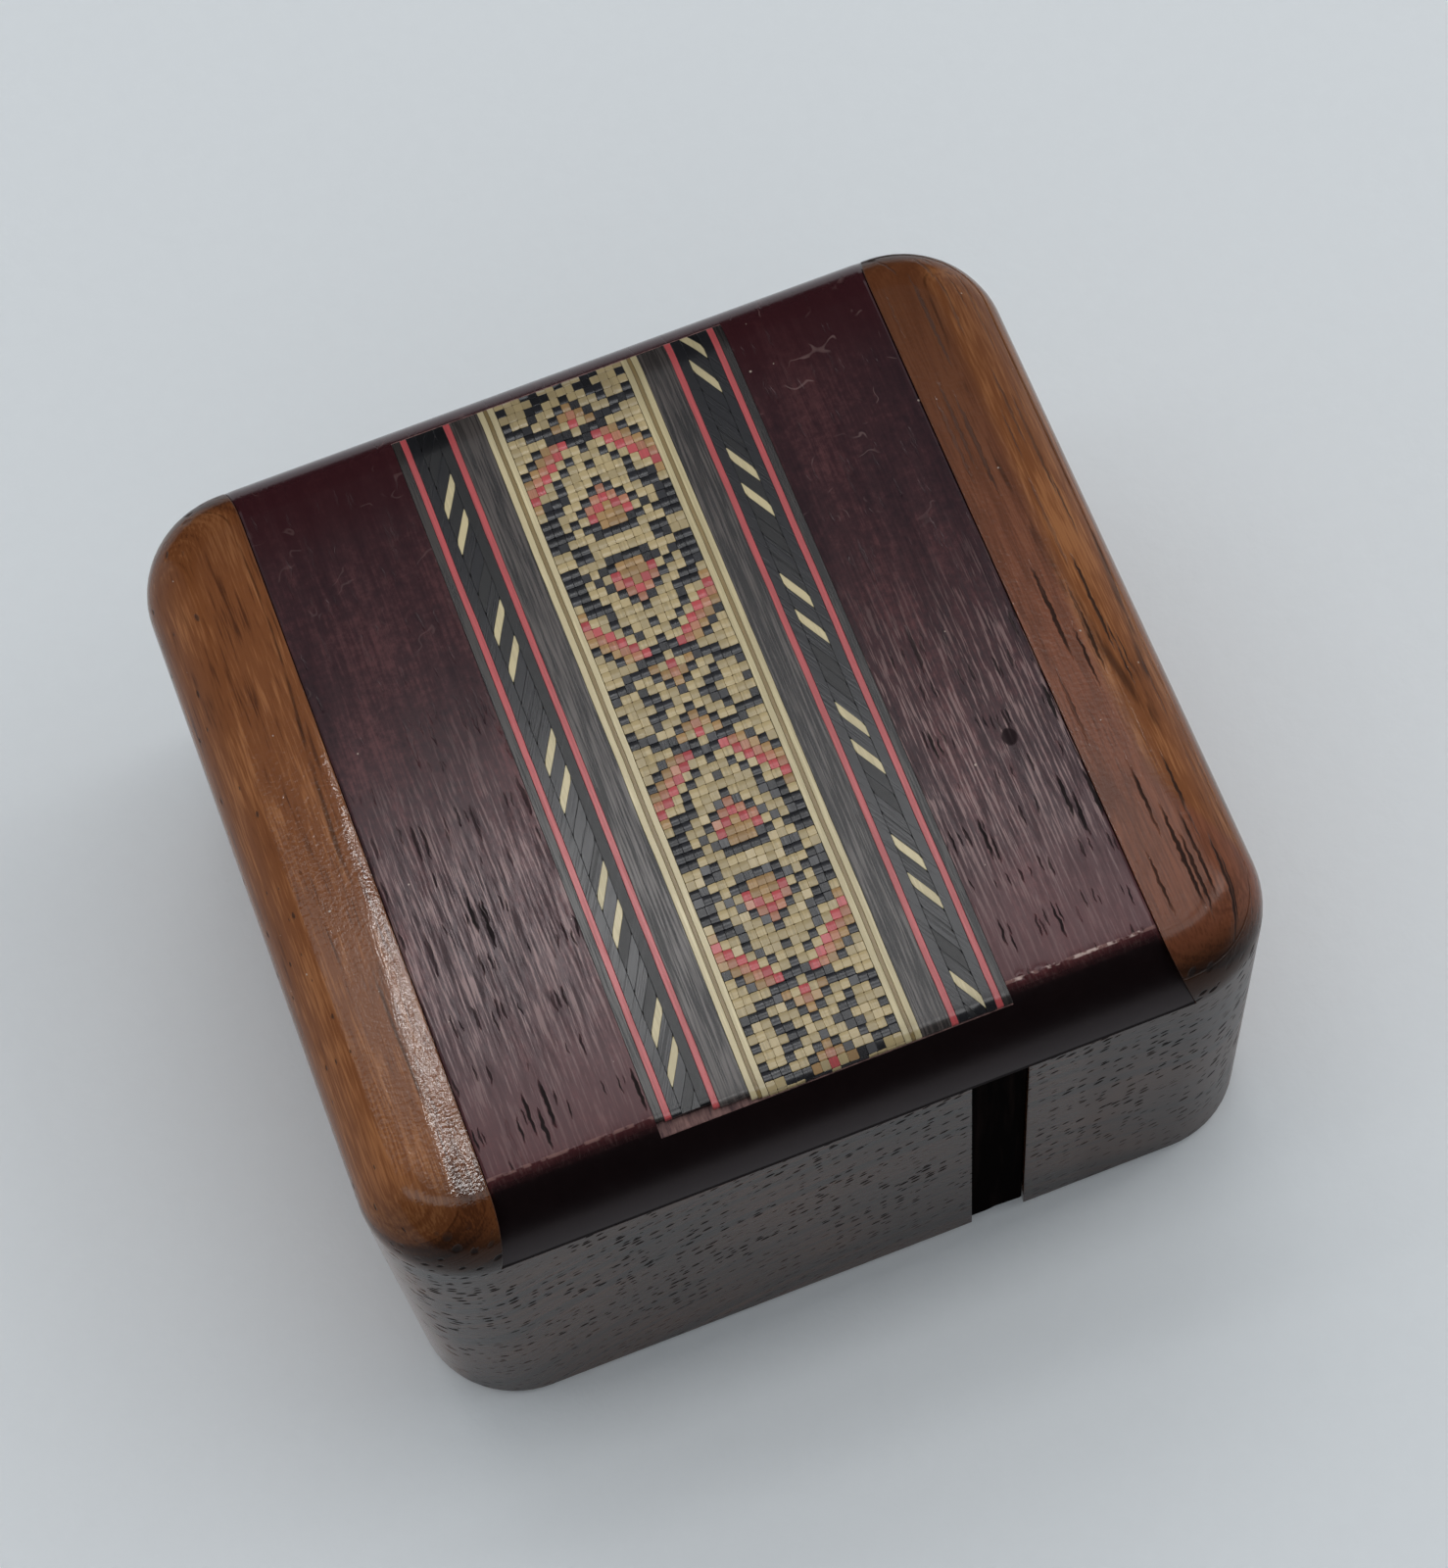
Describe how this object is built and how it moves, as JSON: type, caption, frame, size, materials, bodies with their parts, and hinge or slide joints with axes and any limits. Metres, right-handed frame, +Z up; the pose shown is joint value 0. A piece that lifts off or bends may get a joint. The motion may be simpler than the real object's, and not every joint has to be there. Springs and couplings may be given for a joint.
{
  "type": "wooden puzzle box",
  "caption": "Small rounded wooden puzzle box with a sliding dovetailed lid, an inlaid mosaic band along the lid, and a dark sliding key in the front wall.",
  "frame": {"origin": "middle of the underside, on the surface that the box stands on", "axes": "+X along the front from left to right, +Y from the front to the back, +Z up through the lid"},
  "size_m": [0.064, 0.06, 0.038],
  "materials": {
    "amber_wood": "oiled and polished, satin gloss, end grain on the front and back",
    "purple_brown_wood": "oiled and polished, satin gloss, open pores",
    "ebony": "polished",
    "black_wood": "dyed veneer, sanded flush",
    "cream_wood": "pale veneer, sanded flush",
    "brown_wood": "veneer, sanded flush",
    "red_wood": "dyed veneer, sanded flush",
    "pink_wood": "dyed veneer, sanded flush",
    "tan_wood": "veneer, sanded flush"
  },
  "bodies": {
    "base": {"box_body": "amber_wood"},
    "lid": {"lid": "purple_brown_wood", "cream_line_inner_left": "cream_wood", "brown_line_left": "brown_wood", "cream_line_outer_left": "cream_wood", "wide_strip_left": "black_wood", "red_line_inner_left": "red_wood", "rope_strip_left": "black_wood", "rope_slivers_left": "cream_wood", "red_line_outer_left": "red_wood", "edge_line_left": "black_wood", "cream_line_inner_right": "cream_wood", "brown_line_right": "brown_wood", "cream_line_outer_right": "cream_wood", "wide_strip_right": "black_wood", "red_line_inner_right": "red_wood", "rope_strip_right": "black_wood", "rope_slivers_right": "cream_wood", "red_line_outer_right": "red_wood", "edge_line_right": "black_wood", "mosaic_dark": "black_wood", "mosaic_cream": "cream_wood", "mosaic_red": "red_wood", "mosaic_pink": "pink_wood", "mosaic_tan": "tan_wood"},
    "key": {"key": "ebony"}
  },
  "joints": [
    {"name": "lid_slide", "type": "slide", "parent": "base", "child": "lid", "axis": [0, -1, 0], "range_m": [0, 0.06]},
    {"name": "key_slide", "type": "slide", "parent": "base", "child": "key", "axis": [0, 0, -1], "range_m": [0, 0.0338]}
  ]
}
